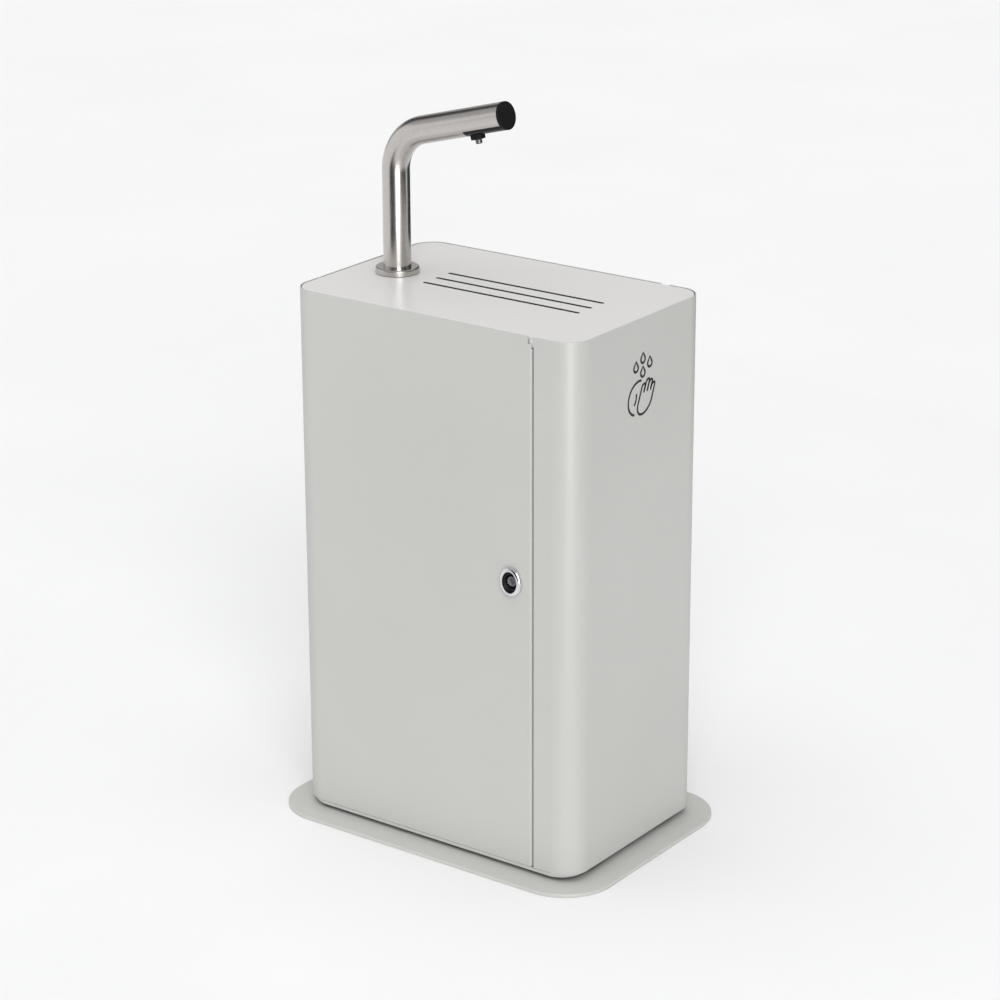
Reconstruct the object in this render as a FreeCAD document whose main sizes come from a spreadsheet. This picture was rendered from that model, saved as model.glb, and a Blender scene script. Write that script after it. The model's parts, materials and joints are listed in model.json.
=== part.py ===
import FreeCAD, Part
import math
import os
import Sketcher

# Portable handwash sink: a free-standing sheet-steel cabinet on a flat base plate, with a sensor tap,
# a slotted drain in its top, a lockable door, and two water canisters, pump and battery inside.
# +Z is up, the door faces -Y, and the origin is the centre of the base plate's underside.

DIMS = {
    "width": 520, "depth": 341, "height": 850, "corner": 38, "wall": 1.5, "body_bottom": 17,
    "base_length": 600, "base_depth": 425, "base_corner": 84, "base_thick": 5,
    "tray_bottom": 11.5, "tray_floor": 2, "tray_rim": 5, "tray_inset": 8,
    "door_edge": 185.2, "door_gap": 2.8, "seam_front": 100, "seam_gap": 3, "door_return": 18,
    "door_bend": 5, "jamb_reach": 18,
    "plate_gap": 1.2, "plate_drop": 0.4, "plate_skirt": 16, "plate_thick": 2,
    "slot_length": 286, "slot_width": 6.5, "slot_pitch": 31.3, "drain_centre": 28.5,
    "tap_x": -181.8, "tap_y": -8, "tap_radius": 21.2, "tap_wall": 1.5, "tap_rise": 213, "spout_length": 210,
    "spout_angle": 15, "bend_radius": 70, "flange_radius": 33.6, "flange_height": 10,
    "lock_x": 149.7, "lock_z": 470.5, "lock_width": 39, "lock_height": 46, "lock_proud": 7,
    "plug_radius": 7.5, "hinge_height": 60, "pin_radius": 2.2, "knuckle_radius": 4,
    "tank_width": 188, "tank_depth": 265, "tank_height": 370, "neck_radius": 22,
    "shelf_level": 490, "hose_radius": 6, "drain_hose_radius": 16,
}


class Size:
    """A number that keeps the spreadsheet expression it comes from."""

    def __init__(self, value, text):
        self.value = float(value)
        self.text = text

    def __add__(self, other):
        other = size(other)
        return Size(self.value + other.value, "(%s + %s)" % (self.text, other.text))

    def __sub__(self, other):
        other = size(other)
        return Size(self.value - other.value, "(%s - %s)" % (self.text, other.text))

    def __mul__(self, other):
        other = size(other)
        return Size(self.value * other.value, "(%s * %s)" % (self.text, other.text))

    def __truediv__(self, other):
        other = size(other)
        return Size(self.value / other.value, "(%s / %s)" % (self.text, other.text))

    def __neg__(self):
        return size(0) - self

    def __radd__(self, other):
        return size(other) + self

    def __rsub__(self, other):
        return size(other) - self

    def __rmul__(self, other):
        return size(other) * self


def size(number):
    if isinstance(number, Size):
        return number
    return Size(number, "(%.6g)" % number)


def cosine(angle):
    return Size(math.cos(math.radians(angle.value)), "cos(%s)" % angle.text)


def sine(angle):
    return Size(math.sin(math.radians(angle.value)), "sin(%s)" % angle.text)


def tangent_of(angle):
    return Size(math.tan(math.radians(angle.value)), "tan(%s)" % angle.text)


doc = FreeCAD.newDocument("handwash_sink")
sheet = doc.addObject("Spreadsheet::Sheet", "Dims")
for row, (name, number) in enumerate(DIMS.items(), 1):
    sheet.set("A%d" % row, name)
    sheet.set("B%d" % row, "%g" % number)
    sheet.setAlias("B%d" % row, name)
doc.recompute()
S = {name: Size(number, "Dims." + name) for name, number in DIMS.items()}
nodes = []


# ---------------------------------------------------------------- helpers

def bind(thing, prop, amount):
    amount = size(amount)
    if "." not in prop:
        setattr(thing, prop, amount.value)
    thing.setExpression(prop, amount.text)


def keep(thing, label):
    thing.Label = label
    nodes.append(thing)
    return thing


def place(thing, x=0, y=0, z=0, turn_axis=(0, 0, 1), turn=0):
    """Put an object at a point, turned about an axis, with the point bound to the sheet."""
    point = [size(x), size(y), size(z)]
    base = FreeCAD.Vector(*[p.value for p in point])
    thing.Placement = FreeCAD.Placement(base, FreeCAD.Rotation(FreeCAD.Vector(*turn_axis), turn))
    for letter, amount in zip("xyz", point):
        thing.setExpression("Placement.Base." + letter, amount.text)
    return thing


def new_body(label):
    return keep(doc.addObject("PartDesign::Body", label), label)


def new_sketch(body, role="XY_Plane", offset=0):
    """A sketch on one of the body's own origin planes, moved along that plane's normal."""
    plane = [f for f in body.Origin.OriginFeatures if f.Role == role][0]
    sketch = body.newObject("Sketcher::SketchObject", body.Label + "_sketch")
    sketch.AttachmentSupport = [(plane, "")]
    sketch.MapMode = "FlatFace"
    offset = size(offset)
    sketch.AttachmentOffset = FreeCAD.Placement(FreeCAD.Vector(0, 0, offset.value), FreeCAD.Rotation())
    sketch.setExpression("AttachmentOffset.Base.z", offset.text)
    return sketch


def pin(sketch, geometry, end, x, y):
    for kind, amount in (("DistanceX", size(x)), ("DistanceY", size(y))):
        index = sketch.addConstraint(Sketcher.Constraint(kind, -1, 1, geometry, end, amount.value))
        sketch.setExpression("Constraints[%d]" % index, amount.text)


def vector(x, y):
    return FreeCAD.Vector(size(x).value, size(y).value, 0)


def polygon(sketch, points):
    first = sketch.GeometryCount
    count = len(points)
    for i, point in enumerate(points):
        following = points[(i + 1) % count]
        sketch.addGeometry(Part.LineSegment(vector(*point), vector(*following)), False)
    for i in range(count):
        after = first + (i + 1) % count
        sketch.addConstraint(Sketcher.Constraint("Coincident", first + i, 2, after, 1))
    for i, point in enumerate(points):
        pin(sketch, first + i, 1, *point)


def rectangle(sketch, x0, y0, x1, y1):
    polygon(sketch, [(x0, y0), (x1, y0), (x1, y1), (x0, y1)])


def circle(sketch, x, y, radius):
    radius = size(radius)
    made = sketch.addGeometry(Part.Circle(vector(x, y), FreeCAD.Vector(0, 0, 1), radius.value), False)
    index = sketch.addConstraint(Sketcher.Constraint("Radius", made, radius.value))
    sketch.setExpression("Constraints[%d]" % index, radius.text)
    pin(sketch, made, 3, x, y)


def ellipse(sketch, half_tall, half_wide):
    """An upright ellipse about the sketch's origin, taller along Y than it is wide."""
    tall = size(half_tall)
    wide = size(half_wide)
    curve = Part.Ellipse(vector(0, tall), vector(wide, 0), vector(0, 0))
    sketch.addGeometry(curve, False)


def pad(body, sketch, length, both=False, back=False):
    feature = body.newObject("PartDesign::Pad", body.Label + "_pad")
    feature.Profile = sketch
    bind(feature, "Length", length)
    feature.Midplane = both
    feature.Reversed = back
    doc.recompute()
    return feature


def pocket(body, sketch, length, both=False, back=False):
    """Cut a sketch into the body, and stop if it removes nothing."""
    before = body.Shape.Volume
    feature = body.newObject("PartDesign::Pocket", body.Label + "_pocket")
    feature.Profile = sketch
    bind(feature, "Length", length)
    feature.Midplane = both
    feature.Reversed = back
    doc.recompute()
    if body.Shape.Volume > before - 0.01:
        raise RuntimeError("the pocket in %s cuts nothing" % body.Label)
    return feature


def revolve(body, sketch):
    """Turn an XZ sketch once about the vertical axis."""
    feature = body.newObject("PartDesign::Revolution", body.Label + "_revolution")
    feature.Profile = sketch
    feature.ReferenceAxis = (sketch, ["V_Axis"])
    feature.Angle = 360
    doc.recompute()
    return feature


def is_upright(edge, x, y):
    """True for a straight vertical edge that stands at the given plan position."""
    extent = edge.BoundBox
    thin = extent.XLength < 0.01 and extent.YLength < 0.01
    return thin and abs(extent.XMin - size(x).value) < 0.05 and abs(extent.YMin - size(y).value) < 0.05


def soften(body, radius, rule):
    """Round every edge of the body's present tip that the rule picks."""
    tip = body.Tip
    names = ["Edge%d" % (i + 1) for i, edge in enumerate(tip.Shape.Edges) if rule(edge)]
    if not names:
        raise RuntimeError("no edge to round in %s" % body.Label)
    feature = body.newObject("PartDesign::Fillet", body.Label + "_fillet")
    feature.Base = (tip, names)
    bind(feature, "Radius", radius)
    doc.recompute()
    return feature


def soften_corners(body, radius, corners):
    soften(body, radius, lambda edge: any(is_upright(edge, x, y) for x, y in corners))


def at_level(edge, z):
    return abs(edge.BoundBox.ZMin - size(z).value) < 0.01 and abs(edge.BoundBox.ZMax - size(z).value) < 0.01


def box(x0, y0, z0, x1, y1, z1, label):
    """A Part box between two corners, its size and place bound to the sheet."""
    made = doc.addObject("Part::Box", label)
    bind(made, "Length", size(x1) - x0)
    bind(made, "Width", size(y1) - y0)
    bind(made, "Height", size(z1) - z0)
    return place(made, x0, y0, z0)


def cylinder(x, y, z, radius, height, label, turn_axis=(0, 0, 1), turn=0):
    made = doc.addObject("Part::Cylinder", label)
    bind(made, "Radius", radius)
    bind(made, "Height", height)
    return place(made, x, y, z, turn_axis, turn)


def fuse(things, label):
    made = doc.addObject("Part::MultiFuse", label)
    made.Shapes = things
    made.Refine = True
    return made


def group(things, label):
    made = doc.addObject("Part::Compound", label)
    made.Links = things
    return made


def cut(base, tool, label):
    made = doc.addObject("Part::Cut", label)
    made.Base = base
    made.Tool = tool
    made.Refine = True
    return made


def hose(points, outer, inner, label):
    """A hollow hose: straight runs joined by the largest tangent arcs that the runs allow."""
    corners = [FreeCAD.Vector(*[size(v).value for v in point]) for point in points]
    edges = []
    start = corners[0]
    for before, corner, after in zip(corners, corners[1:], corners[2:]):
        back = before - corner
        ahead = after - corner
        shorter = min(back.Length, ahead.Length)
        trim = 0.45 * shorter
        half_turn = (math.pi - back.getAngle(ahead)) / 2
        radius = trim / math.tan(half_turn)
        print("%s bend radius %.1f mm" % (label, radius))
        back.normalize()
        ahead.normalize()
        enter = corner + back * trim
        leave = corner + ahead * trim
        bisector = back + ahead
        bisector.normalize()
        centre = corner + bisector * math.hypot(trim, radius)
        middle = centre - bisector * radius
        edges.append(Part.LineSegment(start, enter).toShape())
        edges.append(Part.Arc(enter, middle, leave).toShape())
        start = leave
    edges.append(Part.LineSegment(start, corners[-1]).toShape())
    path = Part.Wire(edges)
    along = edges[0].tangentAt(edges[0].FirstParameter)
    tubes = []
    for radius in (size(outer).value, size(inner).value):
        ring = Part.Wire(Part.makeCircle(radius, corners[0], along))
        tubes.append(path.makePipeShell([ring], True, False))
    shape = tubes[0].cut(tubes[1])
    section = math.pi * (size(outer).value ** 2 - size(inner).value ** 2)
    print("%s length %.1f mm, volume ratio %.4f" % (label, path.Length, shape.Volume / section / path.Length))
    made = doc.addObject("Part::Feature", label)
    made.Shape = shape
    made.Placement = FreeCAD.Placement()
    return keep(made, label)


half_w = S["width"] / 2
half_d = S["depth"] / 2
wall = S["wall"]
inner_corner = S["corner"] - wall
front = -half_d
inner_front = wall - half_d
door_edge = S["door_edge"]
strip_edge = door_edge + S["door_gap"]
seam = -S["seam_front"]
door_seam = seam - S["seam_gap"] / 2
wall_seam = seam + S["seam_gap"] / 2
tray_top = S["tray_bottom"] + S["tray_floor"]
top_under = S["height"] - S["plate_drop"] - S["plate_thick"]
return_top = S["height"] - 18.5
hinge_levels = [S["body_bottom"] + 85, S["height"] - 145]
hinge_screw_rise = [12, 30, 48]
leaf_hole_reach = 17
rivet_radius = 2


# ---------------------------------------------------------------- base and cabinet

bolt_x, bolt_y, bolt_hole = 239, 95, 4.2
base_bolt_spots = [(x, y) for x in (-bolt_x, bolt_x) for y in (-bolt_y, bolt_y)]


def base_plate():
    body = new_body("base_plate")
    x, y = S["base_length"] / 2, S["base_depth"] / 2
    sketch = new_sketch(body)
    rectangle(sketch, -x, -y, x, y)
    pad(body, sketch, S["base_thick"])
    soften_corners(body, S["base_corner"], [(x, y), (-x, y), (-x, -y), (x, -y)])
    soften(body, 1, lambda edge: at_level(edge, S["base_thick"]))
    sketch = new_sketch(body)
    for spot in base_bolt_spots:
        circle(sketch, spot[0], spot[1], bolt_hole)
    pocket(body, sketch, S["base_thick"], back=True)
    sketch = new_sketch(body)
    for spot in base_bolt_spots:
        circle(sketch, spot[0], spot[1], 7.5)
    pocket(body, sketch, 2.5, back=True)


def spacer_bars():
    """Two low bars that lift the cabinet off its base plate and leave the shadow gap."""
    body = new_body("spacer_bars")
    x, half_bar = half_w - 14, 18
    lift = S["tray_bottom"] - S["base_thick"]
    sketch = new_sketch(body, offset=S["base_thick"])
    for y in (-bolt_y, bolt_y):
        rectangle(sketch, -x, y - half_bar, x, y + half_bar)
    for spot in base_bolt_spots:
        circle(sketch, spot[0], spot[1], bolt_hole)
    body.AllowCompound = True
    pad(body, sketch, lift)


def bottom_tray():
    """The cabinet floor. Its front edge shows as a thin strip under the door and the corners."""
    body = new_body("bottom_tray")
    inset_x, inset_y = half_w - S["tray_inset"], half_d - S["tray_inset"]
    step = S["corner"] + 4 - half_d
    sketch = new_sketch(body, offset=S["tray_bottom"])
    rectangle(sketch, -inset_x, front, inset_x, inset_y)
    pad(body, sketch, S["tray_rim"])
    # The front corners stay full height, so the floor is sunk in a T-shaped recess.
    front_x, rear_x, rear_y = half_w - S["corner"] - 2, inset_x - wall, inset_y - wall
    recess = [(-front_x, inner_front), (front_x, inner_front), (front_x, step), (rear_x, step),
              (rear_x, rear_y), (-rear_x, rear_y), (-rear_x, step), (-front_x, step)]
    sketch = new_sketch(body, offset=tray_top)
    polygon(sketch, recess)
    pocket(body, sketch, S["tray_rim"], back=True)
    soften_corners(body, S["corner"], [(-inset_x, front), (inset_x, front)])
    soften_corners(body, S["corner"] - S["tray_inset"], [(inset_x, inset_y), (-inset_x, inset_y)])
    soften_corners(body, S["corner"] - S["tray_inset"] - wall, [(rear_x, rear_y), (-rear_x, rear_y)])
    sketch = new_sketch(body, offset=S["tray_bottom"])
    for spot in base_bolt_spots:
        circle(sketch, spot[0], spot[1], bolt_hole)
    pocket(body, sketch, S["tray_floor"], back=True)


def base_fasteners():
    bolts = []
    nuts = []
    for x, y in base_bolt_spots:
        head = cylinder(x, y, 0.3, 7.3, 2.2, "bolt_head")
        shank = cylinder(x, y, 2.5, 4, tray_top + 6, "bolt_shank")
        bolts.append(fuse([head, shank], "base_bolt"))
        nut = doc.addObject("Part::Prism", "nut_blank")
        nut.Polygon = 6
        nut.Circumradius = 7.5
        bind(nut, "Height", 6.5)
        place(nut, x, y, tray_top)
        bore = cylinder(x, y, tray_top - 1, 4, 9, "nut_bore")
        nuts.append(cut(nut, bore, "base_nut"))
    keep(group(bolts, "base_bolts"), "base_bolts")
    keep(group(nuts, "base_nuts"), "base_nuts")


def cabinet_shell():
    """One folded wrap: left side, back, right side, front corner and the strip beside the door."""
    body = new_body("cabinet_shell")
    lip = 14
    outline = [(-half_w, wall_seam), (-half_w, half_d), (half_w, half_d), (half_w, front),
               (strip_edge, front), (strip_edge, front + 20), (strip_edge + wall, front + 20),
               (strip_edge + wall, inner_front), (half_w - wall, inner_front),
               (half_w - wall, half_d - wall), (wall - half_w, half_d - wall),
               (wall - half_w, wall_seam + wall), (lip - half_w, wall_seam + wall),
               (lip - half_w, wall_seam)]
    sketch = new_sketch(body, offset=S["body_bottom"])
    polygon(sketch, outline)
    pad(body, sketch, S["height"] - S["body_bottom"])
    soften_corners(body, S["corner"], [(-half_w, half_d), (half_w, half_d), (half_w, front)])
    inner = [(half_w - wall, inner_front), (half_w - wall, half_d - wall), (wall - half_w, half_d - wall)]
    soften_corners(body, inner_corner, inner)
    soften_corners(body, 1, [(strip_edge, front)])
    # The strip's return and the seam's lip stop under the top plate.
    sketch = new_sketch(body, offset=return_top)
    rectangle(sketch, strip_edge - 1, inner_front, strip_edge + wall, front + 21)
    rectangle(sketch, wall - half_w, wall_seam - 1, lip + 1 - half_w, wall_seam + wall)
    pocket(body, sketch, 30, back=True)
    # A shallow notch in the rear rim, for lifting the top plate out.
    sketch = new_sketch(body, "XZ_Plane", offset=-half_d - 1)
    rectangle(sketch, 181, S["height"] - 2.5, 196, S["height"] + 1)
    pocket(body, sketch, wall + 2, back=True)
    sketch = new_sketch(body, "YZ_Plane", offset=-half_w - 1)
    for level in hinge_levels:
        for rise in hinge_screw_rise:
            circle(sketch, seam + leaf_hole_reach, level + rise, rivet_radius)
    pocket(body, sketch, wall + 2, back=True)


def hinge_post():
    """A folded channel welded inside the left wall, behind the hinges."""
    body = new_body("hinge_post")
    x0, x1 = wall - half_w, 22 - half_w
    y0, y1 = wall_seam + wall + 22, wall_seam + wall + 60
    sketch = new_sketch(body, offset=40)
    polygon(sketch, [(x0, y0), (x1, y0), (x1, y1), (x0, y1), (x0, y1 - wall), (x1 - wall, y1 - wall),
                     (x1 - wall, y0 + wall), (x0, y0 + wall)])
    pad(body, sketch, S["height"] - 90)


def door_jamb():
    """The rebate behind the door's free edge, which the lock's cam reaches behind."""
    body = new_body("door_jamb")
    y0 = front + 20
    x0, x1 = strip_edge - S["jamb_reach"], strip_edge + 17
    sketch = new_sketch(body, offset=40)
    polygon(sketch, [(x0, y0), (x1, y0), (x1, y0 + 20), (x1 - wall, y0 + 20), (x1 - wall, y0 + wall),
                     (x0, y0 + wall)])
    pad(body, sketch, S["height"] - 95)


def header_rail():
    """The rail across the front under the top plate."""
    body = new_body("header_rail")
    y0, z0, z1 = front + 42, S["height"] - 54, S["height"] - S["plate_drop"] - S["plate_skirt"] - 1
    sketch = new_sketch(body, "YZ_Plane", offset=24 - half_w)
    polygon(sketch, [(y0, z0), (y0 + 25, z0), (y0 + 25, z0 + wall), (y0 + wall, z0 + wall),
                     (y0 + wall, z1 - wall), (y0 + 25, z1 - wall), (y0 + 25, z1), (y0, z1)])
    pad(body, sketch, S["width"] - 90)


def shell_brackets():
    """Angle brackets that tie the shell to its floor and carry the top plate."""
    brackets = []
    leg = 24
    levels = [(S["tray_bottom"] + S["tray_rim"], 1), (S["height"] - S["plate_drop"] - S["plate_skirt"], -1)]
    for side in (-1, 1):
        for y in (-15, 60):
            wall_face = side * (half_w - wall)
            for level, way in levels:
                foot_x = sorted([(size(wall_face) - side * 2).value, (size(wall_face) - side * leg).value])
                z = sorted([size(level).value, (size(level) + 2 * way).value])
                upright_z = sorted([size(level).value, (size(level) + leg * way).value])
                back_x = sorted([size(wall_face).value, (size(wall_face) - side * 2).value])
                foot = box(foot_x[0], y - 15, z[0], foot_x[1], y + 15, z[1], "bracket_foot")
                upright = box(back_x[0], y - 15, upright_z[0], back_x[1], y + 15, upright_z[1],
                              "bracket_back")
                brackets.append(fuse([foot, upright], "bracket"))
    keep(group(brackets, "shell_brackets"), "shell_brackets")


def equipment_shelf():
    body = new_body("equipment_shelf")
    x, y0, y1 = half_w - wall - 0.3, -34, half_d - wall - 0.3
    corner_cut = S["corner"]
    sketch = new_sketch(body, offset=S["shelf_level"] - 22)
    rectangle(sketch, -x, y0, x, y1)
    pad(body, sketch, 22)
    sketch = new_sketch(body, offset=S["shelf_level"] - 22)
    rectangle(sketch, wall - x, wall + y0, x - wall, y1 - wall)
    pocket(body, sketch, size(22) - wall, back=True)
    corners = [(wall - x, y1 - wall), (x - wall, y1 - wall)]
    soften_corners(body, corner_cut, [(-x, y1), (x, y1)])
    soften_corners(body, corner_cut - wall, corners)


# ---------------------------------------------------------------- top plate and drain

def top_plate():
    """The drip plate: a shallow pressed lid, flush inside the shell's rim, with three drain slots."""
    body = new_body("top_plate")
    inset = wall + S["plate_gap"]
    x, y = half_w - inset, half_d - inset
    round_out = S["corner"] - inset
    under = S["height"] - S["plate_drop"] - S["plate_skirt"]
    sketch = new_sketch(body, offset=under)
    rectangle(sketch, -x, -y, x, y)
    pad(body, sketch, S["plate_skirt"])
    xi, yi = x - wall, y - wall
    sketch = new_sketch(body, offset=under)
    rectangle(sketch, -xi, -yi, xi, yi)
    pocket(body, sketch, S["plate_skirt"] - S["plate_thick"], back=True)
    soften_corners(body, round_out, [(x, y), (-x, y), (-x, -y), (x, -y)])
    soften_corners(body, round_out - wall, [(xi, yi), (-xi, yi), (-xi, -yi), (xi, -yi)])
    soften(body, 0.8, lambda edge: at_level(edge, S["height"] - S["plate_drop"]))
    half_length, half_slot = S["slot_length"] / 2, S["slot_width"] / 2
    centre = S["drain_centre"]
    sketch = new_sketch(body, offset=top_under)
    ends = []
    for step in (-1, 0, 1):
        y = S["slot_pitch"] * step
        rectangle(sketch, centre - half_length, y - half_slot, centre + half_length, y + half_slot)
        for end_x in (centre - half_length, centre + half_length):
            ends += [(end_x, y - half_slot), (end_x, y + half_slot)]
    circle(sketch, S["tap_x"], S["tap_y"], 15.2)
    pocket(body, sketch, S["plate_thick"] + 1, back=True)
    soften_corners(body, half_slot * 0.96, ends)


def drain_basin():
    """A folded funnel under the slots, with a flange that seals against the top plate."""
    body = new_body("drain_basin")
    centre = S["drain_centre"]
    x, y, deep, low = 152, 45, 58, 22
    rim_z = top_under - 1
    # Each loft runs from the wide mouth down to the narrow sump.
    for grow, kind in ((2, "PartDesign::AdditiveLoft"), (0, "PartDesign::SubtractiveLoft")):
        mouth = new_sketch(body, offset=rim_z)
        rectangle(mouth, centre - x - grow, -y - grow, centre + x + grow, y + grow)
        sump = new_sketch(body, offset=rim_z - deep - grow)
        rectangle(sump, centre - low - grow, -low - grow, centre + low + grow, low + grow)
        loft = body.newObject(kind, "drain_basin_loft")
        loft.Profile = mouth
        loft.Sections = [sump]
        loft.Ruled = True
        doc.recompute()
    sketch = new_sketch(body, offset=rim_z - 2)
    rectangle(sketch, centre - x - 16, -y - 14, centre + x + 16, y + 14)
    rectangle(sketch, centre - x + 1, 1 - y, centre + x - 1, y - 1)
    pad(body, sketch, 2)
    sketch = new_sketch(body, offset=rim_z - deep - 2)
    circle(sketch, centre, 0, 13)
    pocket(body, sketch, 3, back=True)


def drain_parts():
    centre = S["drain_centre"]
    rim_z = top_under - 1
    seal = new_body("basin_seal")
    sketch = new_sketch(seal, offset=rim_z)
    rectangle(sketch, centre - 168, -59, centre + 168, 59)
    rectangle(sketch, centre - 154, -47, centre + 154, 47)
    pad(seal, sketch, 1)
    spigot = new_body("drain_spigot")
    sketch = new_sketch(spigot, "XZ_Plane")
    polygon(sketch, [(10.5, 3), (17, 3), (17, 0), (12.9, 0), (12.9, -2.2), (19, -2.2), (19, -8),
                     (13.4, -8), (13.4, -40), (10.5, -40)])
    revolve(spigot, sketch)
    place(spigot, centre, 0, rim_z - 58)
    strainer = new_body("drain_strainer")
    sketch = new_sketch(strainer)
    circle(sketch, 0, 0, 16.5)
    for ring_turn in range(8):
        angle = math.radians(45 * ring_turn)
        circle(sketch, 10 * math.cos(angle), 10 * math.sin(angle), 2.5)
    circle(sketch, 0, 0, 3)
    pad(strainer, sketch, 1.5)
    place(strainer, centre, 0, rim_z - 55)


# ---------------------------------------------------------------- tap

rise = S["spout_angle"]
half_turn = size(45) - rise / 2
bend_trim = S["bend_radius"] * tangent_of(half_turn)
tap_x = S["tap_x"]
tap_y = S["tap_y"]
gasket_thick = 0.8
nozzle_back, nozzle_length, nozzle_width = 57, 20, 14
flat_out, seat_out = 12, 17
panel_back = 70
cap_thick = 4.2
tap_corner = S["height"] + S["tap_rise"]
tip_x = tap_x + S["spout_length"] * cosine(rise)
tip_z = tap_corner + S["spout_length"] * sine(rise)


def on_spout(thing, back=0):
    """Place a thing on the spout's axis: its own +Z runs out along the spout, and +X points down."""
    x = tip_x - size(back) * cosine(rise)
    z = tip_z - size(back) * sine(rise)
    place(thing, x, tap_y, z, (0, 1, 0), 90 - rise.value)
    thing.setExpression("Placement.Rotation.Angle", "90 - %s" % rise.text)
    return thing


def tap_tube():
    """One bent stainless tube, with a flat milled along the underside of the spout."""
    body = doc.addObject("PartDesign::Body", "tube_blank")
    straight_top = tap_corner - bend_trim
    out_x = tap_x + bend_trim * cosine(rise)
    out_z = tap_corner + bend_trim * sine(rise)
    middle_angle = 180 - half_turn.value
    radius = S["bend_radius"].value
    path = new_sketch(body, "XZ_Plane")
    foot = S["height"] - S["plate_drop"] + gasket_thick
    path.addGeometry(Part.LineSegment(vector(tap_x, foot), vector(tap_x, straight_top)), False)
    bend_x = tap_x.value + radius
    middle = vector(bend_x + radius * math.cos(math.radians(middle_angle)),
                    straight_top.value + radius * math.sin(math.radians(middle_angle)))
    path.addGeometry(Part.Arc(vector(tap_x, straight_top), middle, vector(out_x, out_z)), False)
    path.addGeometry(Part.LineSegment(vector(out_x, out_z), vector(tip_x, tip_z)), False)
    pin(path, 0, 1, tap_x, foot)
    pin(path, 0, 2, tap_x, straight_top)
    pin(path, 2, 1, out_x, out_z)
    pin(path, 2, 2, tip_x, tip_z)
    index = path.addConstraint(Sketcher.Constraint("Radius", 1, radius))
    path.setExpression("Constraints[%d]" % index, S["bend_radius"].text)
    ring = new_sketch(body, offset=foot)
    circle(ring, tap_x, 0, S["tap_radius"])
    circle(ring, tap_x, 0, S["tap_radius"] - S["tap_wall"])
    doc.recompute()
    pipe = body.newObject("PartDesign::AdditivePipe", "tube_pipe")
    pipe.Profile = ring
    pipe.Spine = (path, ["Edge1", "Edge2", "Edge3"])
    doc.recompute()
    milling = doc.addObject("Part::Box", "flat_milling")
    bind(milling, "Length", 16)
    bind(milling, "Width", 40)
    bind(milling, "Height", 90)
    x = tip_x - size(panel_back + 0.3) * cosine(rise) + size(flat_out) * sine(rise)
    z = tip_z - size(panel_back + 0.3) * sine(rise) - size(flat_out) * cosine(rise)
    place(milling, x, tap_y - 20, z, (0, 1, 0), 90 - rise.value)
    place(body, 0, tap_y, 0)
    keep(cut(body, milling, "tap_tube"), "tap_tube")


def sensor_panel():
    """The black insert that fills the milled flat, from its step to the end cap."""
    round_bar = doc.addObject("Part::Cylinder", "panel_round")
    bind(round_bar, "Radius", S["tap_radius"] - 0.1)
    bind(round_bar, "Height", panel_back - 0.1)
    on_spout(round_bar, panel_back)
    slab = doc.addObject("Part::Box", "panel_slab")
    bind(slab, "Length", 20)
    bind(slab, "Width", 60)
    bind(slab, "Height", 120)
    slab_back, slab_out = size(panel_back + 20), size(flat_out + 0.05)
    x = tip_x - slab_back * cosine(rise) + slab_out * sine(rise)
    z = tip_z - slab_back * sine(rise) - slab_out * cosine(rise)
    place(slab, x, tap_y - 30, z, (0, 1, 0), 90 - rise.value)
    common = doc.addObject("Part::Common", "panel_blank")
    common.Base = round_bar
    common.Tool = slab
    window = doc.addObject("PartDesign::Body", "panel_window")
    sketch = new_sketch(window)
    half_long, half_wide = nozzle_length / 2 + 0.1, nozzle_width / 2 + 0.1
    rectangle(sketch, -half_long, -half_wide, half_long, half_wide)
    pad(window, sketch, 30)
    beside_spout(window, nozzle_back, seat_out)
    passage = cylinder(0, 0, 0, 5.1, 20, "panel_passage")
    beside_spout(passage, nozzle_back, 5)
    keep(cut(common, fuse([window, passage], "panel_openings"), "sensor_panel"), "sensor_panel")


def beside_spout(thing, back, out):
    """Place a thing under the spout: its own +Z points away from the underside."""
    x = tip_x - size(back) * cosine(rise) + size(out) * sine(rise)
    z = tip_z - size(back) * sine(rise) - size(out) * cosine(rise)
    return place(thing, x, tap_y, z, (0, 1, 0), 180 - rise.value)


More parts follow.
